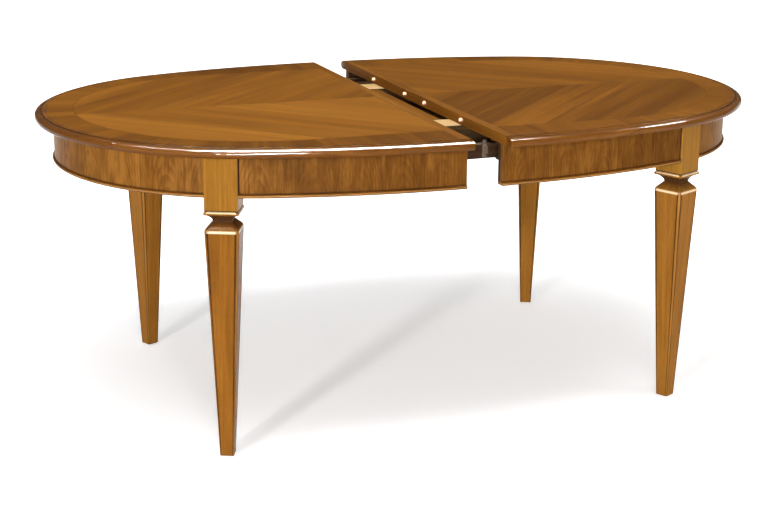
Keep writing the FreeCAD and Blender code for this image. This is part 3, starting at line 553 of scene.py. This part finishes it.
# ---- stage ---------------------------------------------------------------------------
def add_floor():
    """Pale floor that keeps the shadow and is white further out."""
    half = 30.0
    mesh = bpy.data.meshes.new("floor")
    corners = [(-half, -half, 0), (half, -half, 0), (half, half, 0), (-half, half, 0)]
    mesh.from_pydata(corners, [], [(0, 1, 2, 3)])
    floor = bpy.data.objects.new("floor", mesh)
    bpy.context.scene.collection.objects.link(floor)
    g = Graph("floor_white")
    g.shader.inputs["Base Color"].default_value = FLOOR_PAINT
    g.shader.inputs["Roughness"].default_value = 0.9
    g.shader.inputs["Specular IOR Level"].default_value = 0.0
    x, y, _ = g.place()
    near, far, near_glow, far_glow = 0.9, 2.4, 0.40, 1.0
    share = g.span(g.length(x, y), near, far, near_glow, far_glow)
    # the glow is for the eye and for reflections, and lights nothing
    ray = g.node("ShaderNodeLightPath").outputs
    seen = g.math("MAXIMUM", ray["Is Glossy Ray"], ray["Is Transmission Ray"])
    seen = g.math("MAXIMUM", ray["Is Camera Ray"], seen)
    glow = g.node("ShaderNodeEmission")
    glow.inputs["Color"].default_value = WHITE
    g.feed(glow.inputs["Strength"], g.math("MULTIPLY", share, seen))
    both = g.node("ShaderNodeAddShader")
    g.feed(both.inputs[0], g.shader.outputs[0])
    g.feed(both.inputs[1], glow.outputs[0])
    g.feed(g.tree.nodes["Material Output"].inputs["Surface"], both.outputs[0])
    mesh.materials.append(g.material)


def add_world(level, overhead):
    """Dim at the horizon, brighter overhead."""
    world = bpy.data.worlds.new("studio")
    world.use_nodes = True
    tree = world.node_tree
    direction = tree.nodes.new("ShaderNodeTexCoord").outputs["Generated"]
    split = tree.nodes.new("ShaderNodeSeparateXYZ")
    tree.links.new(direction, split.inputs[0])
    ramp = tree.nodes.new("ShaderNodeMapRange")
    for socket, value in zip(ramp.inputs[1:5], (0.1, 0.9, level, overhead)):
        socket.default_value = value
    tree.links.new(split.outputs[2], ramp.inputs[0])
    tree.links.new(ramp.outputs[0], tree.nodes["Background"].inputs["Strength"])
    tree.nodes["Background"].inputs["Color"].default_value = WHITE
    bpy.context.scene.world = world


def add_lamp(name, place, aim, width, height, power, gleam=False):
    """Softbox, or with gleam a strip that only shows as a highlight on glossy surfaces."""
    data = bpy.data.lights.new(name, "AREA")
    data.shape = "RECTANGLE"
    data.size = width
    data.size_y = height
    data.energy = power
    lamp = bpy.data.objects.new(name, data)
    lamp.location = place
    lamp.visible_diffuse = not gleam
    lamp.visible_transmission = not gleam
    lamp.visible_camera = not gleam
    lamp.rotation_euler = (Vector(aim) - Vector(place)).to_track_quat("-Z", "Y").to_euler()
    bpy.context.scene.collection.objects.link(lamp)


def add_camera(place, lens, shift, yaw, pitch, roll):
    """Camera fitted to the photo; the angles are degrees to the right, down and anticlockwise."""
    data = bpy.data.cameras.new("camera")
    data.lens = lens
    data.shift_y = shift
    data.clip_end = 100
    yaw, pitch, roll = (math.radians(angle) for angle in (yaw, pitch, roll))
    flat = math.cos(pitch)
    forward = Vector((math.sin(yaw) * flat, math.cos(yaw) * flat, -math.sin(pitch)))
    level = Vector((math.cos(yaw), -math.sin(yaw), 0))
    upward = level.cross(forward)
    right = level * math.cos(roll) + upward * math.sin(roll)
    up = upward * math.cos(roll) - level * math.sin(roll)
    camera = bpy.data.objects.new("camera", data)
    turn = Matrix((right, up, -forward)).transposed().to_4x4()
    camera.matrix_world = Matrix.Translation(place) @ turn
    bpy.context.scene.collection.objects.link(camera)
    bpy.context.scene.camera = camera


add_floor()
add_world(0.08, 0.40)
add_lamp("softbox_above", (-0.3, -1.5, 6.0), (-0.3, -0.4, 0), 7.0, 1.8, 275)
add_lamp("key_left", (-6.5, -6.2, 3.2), (0, 0, 0.4), 0.6, 0.6, 340)
add_lamp("fill_front", (-2.0, -7.8, 2.1), (0, 0, 0.3), 2.2, 1.4, 400)
add_lamp("gleam_above", (-0.2, 0.6, 6.0), (0, -0.4, 0.7), 6.0, 3.2, 13000, gleam=True)
add_lamp("gleam_front", (-3.2, -4.7, 1.65), (-0.4, -0.5, 0.75), 4.9, 0.9, 9000, gleam=True)
add_lamp("gleam_right", (4.4, 0.6, 4.9), (0.7, -0.3, 0.75), 2.4, 0.8, 1000, gleam=True)
add_camera((-1.502, -3.865, 1.515), lens=74.87, shift=-0.06, yaw=20.71, pitch=14.44, roll=0.47)
bpy.context.scene.view_settings.view_transform = "Standard"
